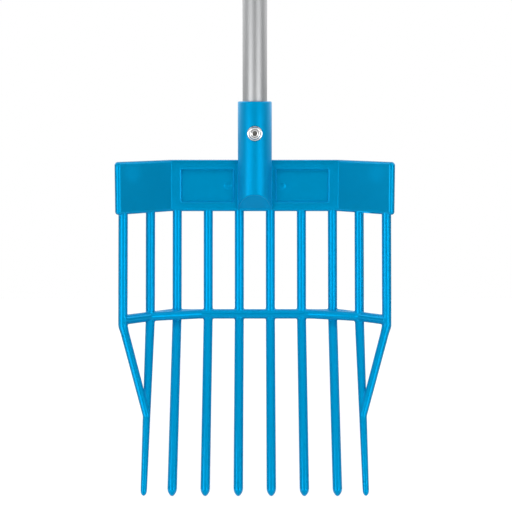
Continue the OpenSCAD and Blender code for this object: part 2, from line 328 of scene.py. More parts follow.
# %% [markdown]
# ## A slab with sloping sides
# Each half of the wall has a shallow panel with a low rim, and all their sides slope, so that the moulding
# slips out of its mould. Insets and extrusions on the wall could draw them, but the wall's front is cut up by
# the socket by now. `slab` makes a box with round corners over a panel, and a margin in mm widens or narrows
# its front and back.

# %% A slab over a panel
panel_x, panel_z = (24.95, 84.7), (-115.2, -77.6)
wide, tall = panel_x[1] - panel_x[0], panel_z[1] - panel_z[0]


def slab(name, side, front, back, margins, corner, soft=0):
    centre = at(side * sum(panel_x) / 2, (front + back) / 2, sum(panel_z) / 2)
    bpy.ops.mesh.primitive_cube_add(
        size=1, location=centre, scale=(wide * MM, (back - front) * MM, tall * MM)
    )
    piece = open_piece(name)
    round_edges(piece, lambda e: abs(along(e).y) > 0.99, corner, 6)
    for margin, way in zip(margins, (-1, 1)):
        pick(piece, "faces", lambda f: f.normal.y * way > 0.9)
        grow = (1 + 2 * margin / wide, 1, 1 + 2 * margin / tall)
        bpy.ops.transform.resize(value=grow, center_override=centre)
    if soft:
        round_edges(piece, lambda e: all(abs(v.co.y - front * MM) < touching / 10 for v in e.verts), soft, 4)
    close_piece(piece)
    return piece


print("each panel is", round(wide, 2), "by", round(tall, 2), "mm")

# %% [markdown]
# ## The recessed panels
# The rim is rounded and stands 0.6 mm out, the panel's floor lies 1.6 mm deep, and on it is a faint disc
# where a pin pushed the moulding out. A bump in the finish could fake all three, but their edges catch the
# light, so they are modelled: a slab is added for the rim, a deeper one is taken away, and a flat cylinder is
# added for the disc.

# %% Recessed panels
rim_out, rim_margins, rim_corner, rim_soft = 0.6, (0.85, 1.75), 2.2, 0.45
panel_depth, panel_margins, panel_corner, cut_past = 1.6, (0.5, -0.4), 1.6, 0.6
rim_front, panel_floor = wall_front - rim_out, wall_front + panel_depth
mark_x, mark_z, mark_r, mark_out, mark_soft, mark_t = 31.2, -97, 4.4, 0.12, 0.11, 2


def in_front_of_floor(edge):
    return all(v.co.y < panel_floor * MM for v in edge.verts)


for side in (-1, 1):
    rim = slab("raised rim", side, rim_front, wall_front, rim_margins, rim_corner, rim_soft)
    cut(wall, rim, "UNION")
    cut(wall, slab("recess", side, rim_front - cut_past, panel_floor, panel_margins, panel_corner))
    bpy.ops.mesh.primitive_cylinder_add(
        vertices=48,
        radius=mark_r * MM,
        depth=mark_t * MM,
        location=at(side * mark_x, panel_floor + mark_t / 2 - mark_out, mark_z),
        rotation=facing_back,
    )
    mark = open_piece("pin mark")
    round_edges(mark, lambda e: in_front_of_floor(e) and sharp(e), mark_soft, 2)
    close_piece(mark)
    cut(wall, mark, "UNION")

# %% [markdown]
# ## Fillets beside the socket
# Where the round socket meets the flat wall, the moulding has a small fillet. A sculpted fillet would be
# softer, but these two edges are straight and long, so a bevel on them is enough.

# %% Fillets beside the socket
socket_fillet = 1.0


def beside_socket(edge):
    return upright(edge) and edge.calc_length() > 20 * MM and abs(abs(middle(edge).x) - 19.4 * MM) < 0.3 * MM


bpy.ops.object.mode_set(mode="EDIT")
round_edges(wall, beside_socket, socket_fillet, 4)
close_piece(wall)

# %% [markdown]
# ## A rod along a line
# All the rods of the head are round and bend smoothly. A curve with a round bevel would draw them too, but
# its radius is awkward to set at each point. Here a disc is extruded along the line, spun round each bend and
# resized where the rod gets thicker or thinner, so it stays truly round. Headless, `spin` turns the other
# way, hence the minus.

# %% A rod along a line of points
bend_steps = 6


def rod(name, points, radii, bend=10.0, segments=40):
    points = [Vector(p) for p in points]
    first = (points[1] - points[0]).normalized()
    bpy.ops.mesh.primitive_circle_add(
        vertices=segments,
        radius=radii[0] * MM,
        fill_type="NGON",
        location=points[0],
        rotation=first.to_track_quat("Z", "Y").to_euler(),
    )
    piece = open_piece(name)
    bpy.ops.mesh.select_all(action="SELECT")
    here, size = points[0], radii[0]
    for i in range(1, len(points)):
        ahead = (points[i] - points[i - 1]).normalized()
        after = (points[i + 1] - points[i]).normalized() if i + 1 < len(points) else ahead
        turn = ahead.angle(after, 0)
        # a line that runs straight on, or turns right back, has no bend to spin
        short = bend * MM * math.tan(turn / 2) if 0.02 < turn < 3 else 0
        there = points[i] - ahead * short
        bpy.ops.mesh.extrude_region_move(TRANSFORM_OT_translate={"value": there - here})
        if radii[i] != size:
            bpy.ops.transform.resize(value=(radii[i] / size,) * 3, center_override=there)
            size = radii[i]
        here = there
        if short:
            axis = ahead.cross(after).normalized()
            centre = here + axis.cross(ahead) * bend * MM
            bpy.ops.mesh.spin(steps=bend_steps, angle=-turn, center=centre, axis=axis)
            here = points[i] + after * short
    close_piece(piece)
    return piece


print("each bend of a rod is spun in", bend_steps, "steps")

# %% [markdown]
# ## The tines
# A tine grows out of the wall with a short cone, runs straight down, bends forwards by 25 degrees at the
# cross bar and ends in a blunt, rounded point. The tines of the wings get thinner on their way. All of them
# could be drawn in place, but only two kinds differ, so each kind is modelled once, at the middle of the
# fork.

# %% The two kinds of tine
tine_r, tine_y = 5.35, 6.85
bar_z, tine_bend, knee_drop, knee_bend = -247.2, math.radians(25), 3.0, 8
root_r, root_top, root_full = 2.1, wall_foot + 18.5, wall_foot + 2.5
centre_length, wing_length, wing_point_r = 212, 206.5, 3.55
bent = Vector((0, -math.sin(tine_bend), -math.cos(tine_bend)))
# each step of the point: how far before the end in mm, and the share of the radius that is left
point_steps = [
    (8.0, 1.0), (7.0, 0.985), (6.0, 0.955), (5.0, 0.905), (4.0, 0.82),
    (3.0, 0.71), (1.9, 0.56), (1.0, 0.42), (0.4, 0.28), (0, 0.1),
]


def tine(name, length, point_r):
    knee = at(0, tine_y, bar_z - knee_drop)
    end = at(0, tine_y, bar_z) + bent * length * MM
    ahead = (end - knee).normalized()
    points = [at(0, tine_y, root_top), at(0, tine_y, root_full), knee]
    radii = [root_r, tine_r, tine_r]
    for short, share in point_steps:
        points.append(end - ahead * short * point_r / tine_r * MM)
        radii.append(point_r * share)
    return rod(name, points, radii, bend=knee_bend)


centre_tine = tine("centre tine", centre_length, tine_r)
wing_tine = tine("wing tine", wing_length, wing_point_r)

# %% [markdown]
# ## Hanging the tines
# The tines fan out a little: each leans outwards by its distance from the middle. An Array modifier gives
# them all the same turn, so each tine is a copy with a mesh of its own, turned about the wall's foot and then
# moved to its place. `on_wing` gives a place along the wing, as far behind its middle as the tines are behind
# the wall's.

# %% Hang the tines from the wall
lean_at_fold, tine_places, inner_reach, outer_reach = 0.585, (18, 54, 90), 27.3, 64.6


def outward_lean(x):
    return math.radians(lean_at_fold * x / fold)


def hang(piece, x, y):
    select_only(piece)
    bpy.ops.object.duplicate(linked=False)
    bpy.ops.transform.rotate(
        value=outward_lean(x), orient_axis="Y", center_override=at(0, tine_y, wall_foot)
    )
    bpy.ops.transform.translate(value=(x * MM, (y - tine_y) * MM, 0))
    bpy.ops.object.transform_apply(location=True, rotation=True, scale=True)
    return bpy.context.object


def on_wing(reach):
    set_back = tine_y - wall_mid
    x = fold + reach * along_wing.x - set_back * along_wing.y
    return x, wall_mid + reach * along_wing.y + set_back * along_wing.x


inner, outer = on_wing(inner_reach), on_wing(outer_reach)
rods = [hang(centre_tine, x, tine_y) for x in tine_places] + [hang(wing_tine, *inner)]
bpy.data.objects.remove(centre_tine)
bpy.data.objects.remove(wing_tine)
for piece in rods:
    print(piece.name, "reaches x", round(max(v.co.x for v in piece.data.vertices) / MM, 2))

# %% [markdown]
# ## The outer rods with their struts
# The outermost rods have no point. Below the cross bar each one turns inwards as a strut and runs into the
# tine beside it, which stiffens the corner. Rod and strut could be two pieces, but on the real head the rod
# simply bends, so one line is drawn through both. `on_rod` finds a place on a leaning rod, and `below_bar`
# one on its bent part.

# %% Outer rods with their struts
def on_rod(foot, z):
    return at(foot[0] + (wall_foot - z) * math.tan(outward_lean(foot[0])), foot[1], z)


def below_bar(foot, reach):
    tilt = outward_lean(foot[0])
    down = Vector((bent.z * -math.sin(tilt), bent.y, bent.z * math.cos(tilt)))
    return on_rod(foot, bar_z) + down * reach * MM


strut_drop, strut_reach, neck, neck_r, strut_r = 6.5, 116, 9, 4.85, 4.35
strut_bend, strut_end = on_rod(outer, bar_z - strut_drop), below_bar(inner, strut_reach)
strut_neck = strut_bend + (strut_end - strut_bend).normalized() * neck * MM
outer_line = [on_rod(outer, root_top), on_rod(outer, root_full), strut_bend, strut_neck, strut_end]
rods.append(rod("outer rod", outer_line, [root_r, tine_r, tine_r, neck_r, strut_r]))

# %% [markdown]
# ## The cross bar
# One bar ties all the rods together where they bend, and it folds with the wall. A curve could be swept for
# it, but `rod` already bends cleanly. Half of it is drawn, a little past the middle, and the mirror below
# adds the rest. It lies 1 mm in front of the tines' middle, so that its front shows over them as on the real
# head.

# %% Cross bar
bar_r, bar_bend, bar_forwards, past_middle = 5.7, 8, 1.0, 8
corner_x = fold + (tine_y - wall_mid) * math.tan(wing_turn / 2)
bar_corner, bar_end = on_rod((corner_x, tine_y), bar_z), on_rod(outer, bar_z)
bar_line = [at(-past_middle, tine_y, bar_z), bar_corner, bar_end]
rods.append(rod("cross bar", bar_line, [bar_r] * 3, bend=bar_bend))
bpy.ops.transform.translate(value=(0, -bar_forwards * MM, 0))
bpy.ops.object.transform_apply(location=True, rotation=True, scale=True)

# %% [markdown]
# ## The braces and webs
# Behind each fold of the bar a straight brace cuts the corner, and a thin web closes the triangle between
# them. The brace is a plain rod. The web could be filled from edges of the bar and the brace, but a disc with
# three corners, moved to the three places and extruded, is simpler and always closed.

# %% Braces and webs
brace_r, web_t = 5.5, 8.0
brace_back, brace_forwards = 1.0, 1.3
brace_in = on_rod((tine_places[1], tine_y + brace_back), bar_z)
brace_out = on_rod((inner[0], inner[1] - brace_forwards), bar_z)
rods.append(rod("brace", [brace_in, brace_out], [brace_r] * 2))
bpy.ops.mesh.primitive_circle_add(vertices=3, radius=20 * MM, fill_type="NGON", location=bar_corner)
web = open_piece("web")
mesh = bmesh.from_edit_mesh(web.data)
for vertex, corner in zip(mesh.verts, (brace_in, brace_out, bar_corner)):
    vertex.co = corner - Vector((0, 0, web_t / 2 * MM))
bmesh.update_edit_mesh(web.data)
bpy.ops.mesh.select_all(action="SELECT")
bpy.ops.mesh.extrude_region_move(TRANSFORM_OT_translate={"value": (0, 0, web_t * MM)})
close_piece(web)
rods.append(web)

# %% [markdown]
# ## One skin over all the rods
# Where the rods meet, the moulding has soft fillets. Bevels on such crossings break easily, so the rods
# overlap, a voxel Remesh makes one skin of them, and a few rounds of Smooth turn the sharp crossings into
# fillets. Decimate then takes out the faces that the straight runs don't need.

# %% One skin over all the rods
def triangles(piece):
    return sum(len(p.vertices) - 2 for p in piece.data.polygons)


voxel, most_triangles = 0.75, 170000
bpy.ops.object.select_all(action="DESELECT")
for piece in rods:
    piece.select_set(True)
bpy.context.view_layer.objects.active = rods[0]
bpy.ops.object.join()
rod_skin = bpy.context.object
rod_skin.name = rod_skin.data.name = "rods"
rod_skin.modifiers.new("other side", "MIRROR").use_mirror_merge = False
remesh = rod_skin.modifiers.new("one skin", "REMESH")
remesh.mode = "VOXEL"
remesh.voxel_size = voxel * MM
smooth = rod_skin.modifiers.new("fillets", "SMOOTH")
smooth.factor, smooth.iterations = 0.5, 2
apply_all(rod_skin)
print("rods:", len(rod_skin.data.polygons), "faces after the remesh")
thin = rod_skin.modifiers.new("fewer faces", "DECIMATE")
thin.ratio = most_triangles / (2 * len(rod_skin.data.polygons))
apply_all(rod_skin)
print("rods:", triangles(rod_skin), "triangles")

# %% [markdown]
# ## One moulding
# Wall, socket and rods are one piece of plastic, so a last Boolean joins them. The rods leave the wall's flat
# back at a shallow angle, and smooth shading would draw a twisted streak from there across the whole flat.
# Weighted normals help only a little. A very narrow inset keeps the bent normals at the edge of each flat,
# and the flat itself stays even.

# %% One moulding
flat_area, narrow, smooth_below = 300 * MM**2, 0.15, math.radians(25)
cut(wall, rod_skin, "UNION")
head = wall
head.name = head.data.name = "moulded_head"
bpy.ops.object.mode_set(mode="EDIT")
pick(head, "faces", lambda f: f.normal.y > 0.7 and f.calc_area() > flat_area)
print("flat faces at the back:", sum(f.select for f in bmesh.from_edit_mesh(head.data).faces))
bpy.ops.mesh.inset(thickness=narrow * MM, depth=0)
close_piece(head)
bpy.ops.object.shade_smooth_by_angle(angle=smooth_below)
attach(head, "root")
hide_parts("fork_head")
print(head.name, triangles(head), "triangles")

# %% [markdown]
# ## The handle tube
# The handle is a drawn tube. Only its outside shows, but its wall is real: a round rod loses its two end
# faces, and a Solidify modifier grows the wall inwards. A Boolean with a thinner rod would do the same, with
# more faces to check. The bolt's hole goes through both sides.

# %% Handle tube
tube_r, tube_wall = 14, 1.5
tube_low, tube_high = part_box("handle_tube")
tube_line = [(0, 0, tube_low.z), (0, 0, tube_high.z)]
tube = rod("handle_tube_drawn", tube_line, [tube_r, tube_r], segments=96)
bpy.ops.object.mode_set(mode="EDIT")
pick(tube, "faces", lambda f: abs(f.normal.z) > 0.9)
bpy.ops.mesh.delete(type="FACE")
bpy.ops.object.mode_set(mode="OBJECT")
shell = tube.modifiers.new("wall of the tube", "SOLIDIFY")
shell.thickness, shell.offset = tube_wall * MM, -1
apply_all(tube)
drill(tube, bolt_hole_r, right_through, at(0, 0, bolt_z))

# %% [markdown]
# ## The bolt
# The bolt has a flange, a low dome with a groove round its hollow, and a hexagon in it for the key. A turned
# shape like this could be a profile under a Screw modifier. It is also a rod along its own axis whose radius
# changes at each step, so the same function makes it. The hexagon is a six-sided drill. Its faces are noted,
# for a finish of their own.

# %% Bolt
def behind(y):
    return at(0, y, bolt_z)


def turned(name, steps, segments=64, place=behind):
    return rod(name, [place(step) for step, r in steps], [r for step, r in steps], segments=segments)


bolt_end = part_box("bolt")[1].y / MM
key_r, key_depth, head_t = 2.887, 5.6, 4.4
flange = [(0, 4.0), (0, 8.4), (0.3, 8.7), (0.45, 8.7), (0.95, 8.35), (1.2, 7.2)]
dome_turns = [math.radians(angle) for angle in range(10, 90, 10)]
dome = [(1.2 + 3.2 * math.sin(turn), 4.3 + 2.9 * math.cos(turn)) for turn in dome_turns]
hollow = [(4.3, 4.45), (4.0, 4.2), (4.0, 3.95), (4.15, 3.8), (head_t, 2.95)]
bolt_steps = [(bolt_end, 3.2), (bolt_end - 0.8, 4.0)]
bolt_steps += [(head_seat - out, r) for out, r in flange + dome + hollow]
bolt = turned("flange_bolt", bolt_steps, segments=72)
drill(bolt, key_r, key_depth, behind(head_seat - head_t), sides=6, name="hexagon")


def in_hexagon(face):
    from_axis = math.hypot(*(face.center - behind(0)).xz)
    return from_axis < 2.9 * MM and face.center.y < (head_seat + 1) * MM


hexagon_faces = [f.index for f in bolt.data.polygons if in_hexagon(f)]
print("faces in the hexagon:", len(hexagon_faces))

# %% [markdown]
# ## The washer and the lock nut
# Behind the socket the bolt needs a washer and a nut. Both are turned like the bolt. The nut could start as a
# six-sided cylinder, but then its corners would lack the round chamfer that real nuts have. So a turned blank
# is cut to six flats with an Intersect, and its collar is added.

# %% Washer and lock nut
washer_back = washer_seat + 1.6
nut_back, collar_back, nut_corner_r, flats_long = washer_back + 6.5, washer_back + 8.7, 7.506, 20
washer_steps = [(washer_seat, 7.8), (washer_seat + 0.2, 8.0)]
washer_steps += [(washer_back - 0.2, 8.0), (washer_back, 7.8)]
washer = turned("plain_washer", washer_steps)
nut_steps = [(washer_back, 6.6), (washer_back + 0.6, 7.6), (nut_back - 0.6, 7.6), (nut_back, 6.6)]
nut = turned("lock_nut_turned", nut_steps)
drill(nut, nut_corner_r, flats_long, behind(nut_back), sides=6, name="spanner flats", operation="INTERSECT")
collar_steps = [(washer_back + 2, 5.9), (collar_back - 0.5, 6.1)]
collar_steps += [(collar_back - 0.15, 5.95), (collar_back, 5.6)]
cut(nut, turned("collar", collar_steps), "UNION")

# %% [markdown]
# ## The nylon ring and the holes
# A ring of nylon in the nut's collar grips the thread and keeps the nut from working loose. It is one more
# turned piece. The washer, the nut and the ring then get their holes. They could be turned as hollow
# profiles, but a drill keeps each profile short. The nut gets a second, wider hole as the seat of the ring.

# %% Nylon ring and holes
ring = turned("nylon_ring", [(nut_back, 5.2), (collar_back - 0.2, 5.2), (collar_back, 5.0)])
thread_r, ring_seat_r = 4.1, 5.3
for piece, radius, depth, y in [
    (washer, bolt_hole_r, 8, washer_seat),
    (nut, thread_r, 30, nut_back),
    (nut, ring_seat_r, 4, nut_back + 2),
    (ring, thread_r, 12, nut_back),
]:
    drill(piece, radius, depth, behind(y))

# %% [markdown]
# ## The end cap
# The cap closes the tube and carries an eye for a wall hook. It is turned like the bolt, from its plug up to
# its round top, and then two boxes take off its sides and a drill makes the hole. Sculpting would give softer
# forms, but the cap is a plain moulding. A Bevel modifier softens the edges that the cuts leave.

# %% End cap
cap_foot = tube_high.z / MM
eye_r, eye_foot, eye_steps, below_top = 14.0, 20, 12, 0.4
hang_r, hang_long, soft_edge = 5, 40, 0.7
side_box, side_y, side_z = (60 * MM, 30 * MM, 30 * MM), 23, 22.5
cap_steps = [(-30, 11.35), (-29, 12.35), (0, 12.35)]
cap_steps += [(0, 14.8), (0.3, 15.0), (6, 15.0), (6.6, 14.8), (7, eye_r), (eye_foot, eye_r)]
for i in range(1, eye_steps + 1):
    turn = math.radians(90 * i / (eye_steps + below_top))
    cap_steps.append((eye_foot + eye_r * math.sin(turn), eye_r * math.cos(turn)))
cap = turned("hanging_cap", cap_steps, segments=96, place=lambda z: (0, 0, (cap_foot + z) * MM))
for way in (-1, 1):
    bpy.ops.mesh.primitive_cube_add(
        size=1, location=(0, way * side_y * MM, (cap_foot + side_z) * MM), scale=side_box
    )
    flat_side = open_piece("flat side")
    close_piece(flat_side)
    cut(cap, flat_side)
drill(cap, hang_r, hang_long, (0, 0, 0), sides=72, name="hanging hole")
soft = cap.modifiers.new("soft edges", "BEVEL")
soft.width, soft.segments, soft.angle_limit = soft_edge * MM, 3, math.radians(40)
apply_all(cap)
print(cap.name, len(cap.data.polygons), "faces with soft edges")

# %% [markdown]
# ## Placing the small pieces
# Every piece is already where it belongs, so nothing is moved. Each one rides on a body, and the solid that
# it stands for is hidden. Nothing moves on this fork, so all of them ride on the same body. Smooth shading
# below
# 35 degrees keeps the round parts round and the cut edges crisp.

# %% Place the small pieces
for piece, node, slot in [
    (tube, "handle_tube", "aluminium_tube"),
    (bolt, "bolt", "bright_steel"),
    (washer, "rear_washer", "zinc_steel"),
    (nut, "lock_nut", "zinc_steel"),
    (ring, "nut_ring", "nylon"),
    (cap, "end_cap", "black_plastic"),
]:
    select_only(piece)
    bpy.ops.object.shade_smooth_by_angle(angle=math.radians(35))
    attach(piece, "root")
    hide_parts(node)
    print(piece.name, len(piece.data.polygons), "faces for", node)

# %% [markdown]
# ## Finishes
# Colours are written as they would be picked from a picture, and `linear` turns them into the values that
# light works with. `add_node` makes one node with its settings and its links. `new_finish` starts a finish
# from the usual surface node and the object's own coordinates, in metres, so that every pattern can be given
# its real size.

# %% Colour and node helpers
def linear(colour):
    parts = [int(colour[i : i + 2], 16) / 255 for i in (1, 3, 5)]
    return [c / 12.92 if c <= 0.04045 else ((c + 0.055) / 1.055) ** 2.4 for c in parts] + [1]


def add_node(tree, kind, inputs, **settings):
    node = tree.nodes.new(kind)
    for name, value in settings.items():
        setattr(node, name, value)
    for name, value in inputs.items():
        if isinstance(value, bpy.types.NodeSocket):
            tree.links.new(value, node.inputs[name])
        else:
            node.inputs[name].default_value = value
    return node


def new_finish(name, pieces):
    finish = bpy.data.materials.new(name)
    finish.use_nodes = True
    for piece in pieces:
        piece.data.materials.clear()
        piece.data.materials.append(finish)
    tree = finish.node_tree
    coords = add_node(tree, "ShaderNodeTexCoord", {}).outputs["Object"]
    print("finish:", name, "on", [piece.name for piece in pieces])
    return tree, tree.nodes["Principled BSDF"], coords


print("middle grey in linear light:", [round(c, 3) for c in linear("#808080")])

# %% [markdown]
# ## Moulded polypropylene: the wall and the rest
# The head is polypropylene, coloured right through and injected into a polished mould. The broad wall and its
# wings get a touch darker blue than the socket and the rods, as painted shade, since the plastic is the same.
# Two materials could show that, but the change is soft and the head is one piece. So two ranges, across and
# upwards, tell how far a place belongs to the wall.

# %% Moulded polypropylene: the wall and the rest
wall_from, wall_full, foot_fade = 19.4, 20.2, 3
tree, surface, coords = new_finish("moulded polypropylene", [head])
apart = add_node(tree, "ShaderNodeSeparateXYZ", {"Vector": coords})
from_middle = add_node(tree, "ShaderNodeMath", {0: apart.outputs["X"]}, operation="ABSOLUTE").outputs[0]
foot_z = mouth + wall_foot * MM
ranges = []
for value, start, stop in [
    (from_middle, wall_from * MM, wall_full * MM),
    (apart.outputs["Z"], foot_z, foot_z + foot_fade * MM),
]:
    limits = {"Value": value, "From Min": start, "From Max": stop}
    ranges.append(add_node(tree, "ShaderNodeMapRange", limits).outputs["Result"])
off_socket, above_foot = ranges
on_wall = add_node(tree, "ShaderNodeMath", {0: off_socket, 1: above_foot}, operation="MULTIPLY").outputs[0]
print("the wall's colour fades in over", foot_fade, "mm, from", round(foot_z, 4), "m upwards")

# %% [markdown]
# ## Moulded polypropylene: its colour
# One flat colour would look like paint. The melt's flow leaves slow, faint clouds about 30 mm wide, which
# give the blue some depth, and near the upper outer corner of each wing a small paler spot is a painted
# reflection.
# A painted image could hold both, but a noise and a distance need no unwrapping.

# %% Moulded polypropylene: colour
flow_mm, spot_mm, spot_core_mm = 30.0, 15.0, 6.5
# centre of the painted reflection on one wing; x is taken from the middle, so it stands on both wings
painted_glint_centre = at(134.2, -35.7, -80)
clouds = {"Vector": coords, "Scale": 1 / (flow_mm * MM), "Detail": 3}
flow = add_node(tree, "ShaderNodeTexNoise", clouds).outputs["Fac"]
blues = []
for dark, light in [("#0089BA", "#008DC0"), ("#0084B2", "#008ABB")]:
    mix = {"Factor": flow, 6: linear(dark), 7: linear(light)}
    blues.append(add_node(tree, "ShaderNodeMix", mix, data_type="RGBA").outputs[2])
# painted shade: the wall and its wings take the darker pair of blues
mix = {"Factor": on_wall, 6: blues[0], 7: blues[1]}
blue = add_node(tree, "ShaderNodeMix", mix, data_type="RGBA").outputs[2]
# painted reflection: a paler blue round a point near the upper outer corner of each wing, mottled by the flow
both_sides = {"X": from_middle, "Y": apart.outputs["Y"], "Z": apart.outputs["Z"]}
folded = add_node(tree, "ShaderNodeCombineXYZ", both_sides).outputs[0]
ends = {0: folded, 1: painted_glint_centre}
far = add_node(tree, "ShaderNodeVectorMath", ends, operation="DISTANCE").outputs["Value"]
fade = {"Value": far, "From Min": spot_mm * MM, "From Max": spot_core_mm * MM}
near = add_node(tree, "ShaderNodeMapRange", fade).outputs["Result"]
painted_glint = add_node(tree, "ShaderNodeMath", {0: near, 1: flow}, operation="MULTIPLY").outputs[0]
mix = {"Factor": painted_glint, 6: blue, 7: linear("#0096CB")}
blue = add_node(tree, "ShaderNodeMix", mix, data_type="RGBA").outputs[2]
tree.links.new(blue, surface.inputs["Base Color"])
print("blue of the rods in linear light:", [round(c, 3) for c in linear("#0089BA")])

# %% [markdown]
# ## Moulded polypropylene: its gloss
# The polished mould leaves a bright gloss on the rods and the wall, while the socket's part of it is less
# polished and leaves a satin. A clear coat on top could give the gloss, but bare plastic has none. The faint
# orange peel of the skin is about 0.3 mm wide. It is drawn at 1.5 mm, as a finer one would not show.

# %% Moulded polypropylene: gloss
peel_mm, peel_depth_mm = 1.5, 0.2
on_socket = add_node(tree, "ShaderNodeMath", {0: above_foot, 1: on_wall}, operation="SUBTRACT").outputs[0]
satin = add_node(tree, "ShaderNodeMapRange", {"Value": on_socket, "To Min": 0.11, "To Max": 0.36})
tree.links.new(satin.outputs["Result"], surface.inputs["Roughness"])
peel = add_node(tree, "ShaderNodeTexNoise", {"Vector": coords, "Scale": 1 / (peel_mm * MM), "Detail": 2})
bumps = {"Height": peel.outputs["Fac"], "Strength": 0.03, "Distance": peel_depth_mm * MM}
relief = add_node(tree, "ShaderNodeBump", bumps)
tree.links.new(relief.outputs["Normal"], surface.inputs["Normal"])
# polypropylene bends light by 1.49, and its deep blue tints the lights that it mirrors
surface.inputs["IOR"].default_value = 1.49
surface.inputs["Specular IOR Level"].default_value = 1.0
surface.inputs["Specular Tint"].default_value = (0, 0.79, 1.7, 1)
print("orange peel:", peel_mm, "mm wide")

# %% [markdown]
# ## Drawn aluminium
# The tube is pulled through a die and left bare, which gives it a soft, silvery sheen with fine lines along
# its length. Anisotropy could stretch the highlights, but the lines also have to be seen. So a noise is
# squeezed across the tube and stretched along it. Real die lines are about 0.05 mm apart, and they are drawn
# at 0.4 mm, so that they show.

# %% Drawn aluminium
line_mm, line_long_mm, line_depth_mm = 0.4, 150.0, 0.1
tree, surface, coords = new_finish("drawn aluminium", [tube])
squeeze = (1 / (line_mm * MM), 1 / (line_mm * MM), 1 / (line_long_mm * MM))
drawn = add_node(tree, "ShaderNodeMapping", {"Vector": coords, "Scale": squeeze}).outputs["Vector"]
lines = add_node(tree, "ShaderNodeTexNoise", {"Vector": drawn, "Scale": 1, "Detail": 3}).outputs["Fac"]
mix = {"Factor": lines, 6: linear("#A2A3A4"), 7: linear("#ACADAE")}
silver = add_node(tree, "ShaderNodeMix", mix, data_type="RGBA")
tree.links.new(silver.outputs[2], surface.inputs["Base Color"])
satin = add_node(tree, "ShaderNodeMapRange", {"Value": lines, "To Min": 0.42, "To Max": 0.5})
tree.links.new(satin.outputs["Result"], surface.inputs["Roughness"])
grooves = {"Height": lines, "Strength": 0.1, "Distance": line_depth_mm * MM}
relief = add_node(tree, "ShaderNodeBump", grooves)
tree.links.new(relief.outputs["Normal"], surface.inputs["Normal"])
surface.inputs["Metallic"].default_value = 1
print("drawn lines:", line_mm, "mm apart and", line_long_mm, "mm long")

# %% [markdown]
# ## Plated steel
# The bolt, the washer and the nut are steel with a thin plate, laid on in a bath. A plain metal would look
# too clean, so a fine cloud changes tint and roughness together. The plate's crystals are far too small to
# see, so the cloud is drawn at 1.2 mm.

# %% Plated steel
plate_mm = 1.2
for name, pieces, dark, light, smoothest, roughest in [
    # bright nickel: smooth and almost white, it mirrors the lights as clear rings
    ("bright nickel plate", [bolt], "#D0D1D2", "#DCDDDE", 0.12, 0.2),
    # zinc: greyer and duller, with soft reflections
    ("zinc plate", [washer, nut], "#B9BCBF", "#C9CBCD", 0.3, 0.42),
]:
    tree, surface, coords = new_finish(name, pieces)
    cloud = {"Vector": coords, "Scale": 1 / (plate_mm * MM), "Detail": 3}
    grain = add_node(tree, "ShaderNodeTexNoise", cloud).outputs["Fac"]
    mix = {"Factor": grain, 6: linear(dark), 7: linear(light)}
    plate = add_node(tree, "ShaderNodeMix", mix, data_type="RGBA")
    tree.links.new(plate.outputs[2], surface.inputs["Base Color"])
    dull = add_node(tree, "ShaderNodeMapRange", {"Value": grain, "To Min": smoothest, "To Max": roughest})
    tree.links.new(dull.outputs["Result"], surface.inputs["Roughness"])
    surface.inputs["Metallic"].default_value = 1
    print(name, "has a roughness of", smoothest, "to", roughest)

# %% [markdown]
# ## The dark hexagon
# The key's hexagon is a deep hollow. The shade of the hollow alone would not be dark enough, so its faces get
# a finish of their own: a dull dark grey that is only partly metallic, as painted shade. Its grain would be
# finer than a pixel, so it is drawn at 0.8 mm.

# %% Dark hexagon
hollow_grain_mm = 0.8
# painted shade: the hexagon's faces are a dull dark grey, far darker than the nickel plate round them
tree, surface, coords = new_finish("hexagon painted shade", [])
cloud = {"Vector": coords, "Scale": 1 / (hollow_grain_mm * MM), "Detail": 3}
grain = add_node(tree, "ShaderNodeTexNoise", cloud).outputs["Fac"]
mix = {"Factor": grain, 6: linear("#787673"), 7: linear("#8A8884")}
steel = add_node(tree, "ShaderNodeMix", mix, data_type="RGBA")
tree.links.new(steel.outputs[2], surface.inputs["Base Color"])
surface.inputs["Roughness"].default_value = 0.6
surface.inputs["Metallic"].default_value = 0.6
bolt.data.materials.append(bpy.data.materials["hexagon painted shade"])
for i in hexagon_faces:
    bolt.data.polygons[i].material_index = 1
print("dark faces in the hexagon:", len(hexagon_faces))

# %% [markdown]
# ## Black polypropylene and nylon
# The end cap comes from a mould with a spark-grained surface, which gives it a dull black with a fine
# grain. The nut's ring is cut from nylon rod and is plain and a little waxy. Both could share one material,
# but they differ in colour and grain. The real grains are about 0.2 mm, and they are drawn at 0.8 mm and 0.5
# mm, so that they show.

# %% Grained black polypropylene and blue nylon
grain_depth_mm = 0.2
for name, pieces, dark, light, grain_mm in [
    # spark-grained: the grain scatters the lights, so the black has no clear reflections
    ("grained black polypropylene", [cap], "#1B1D1F", "#26282A", 0.8),
    # cut nylon: an even, waxy blue with a soft sheen
    ("blue nylon", [ring], "#1F55A8", "#2B66BC", 0.5),
]:
    tree, surface, coords = new_finish(name, pieces)
    cloud = {"Vector": coords, "Scale": 1 / (grain_mm * MM), "Detail": 2}
    grain = add_node(tree, "ShaderNodeTexNoise", cloud).outputs["Fac"]
    mix = {"Factor": grain, 6: linear(dark), 7: linear(light)}
    shade = add_node(tree, "ShaderNodeMix", mix, data_type="RGBA")
    tree.links.new(shade.outputs[2], surface.inputs["Base Color"])
    pits = {"Height": grain, "Strength": 0.3, "Distance": grain_depth_mm * MM}
    relief = add_node(tree, "ShaderNodeBump", pits)
    tree.links.new(relief.outputs["Normal"], surface.inputs["Normal"])
    surface.inputs["Roughness"].default_value = 0.55
    print(name, "has a grain of", grain_mm, "mm")

# %% [markdown]
# ## Camera
# The photograph was taken from the front, a little above the socket's mouth, and looks down at the tines. The
# camera could be set by eye, but its place and focal length come from fitting known points of the head to
# where they lie in the picture, so that the render can be laid over it.

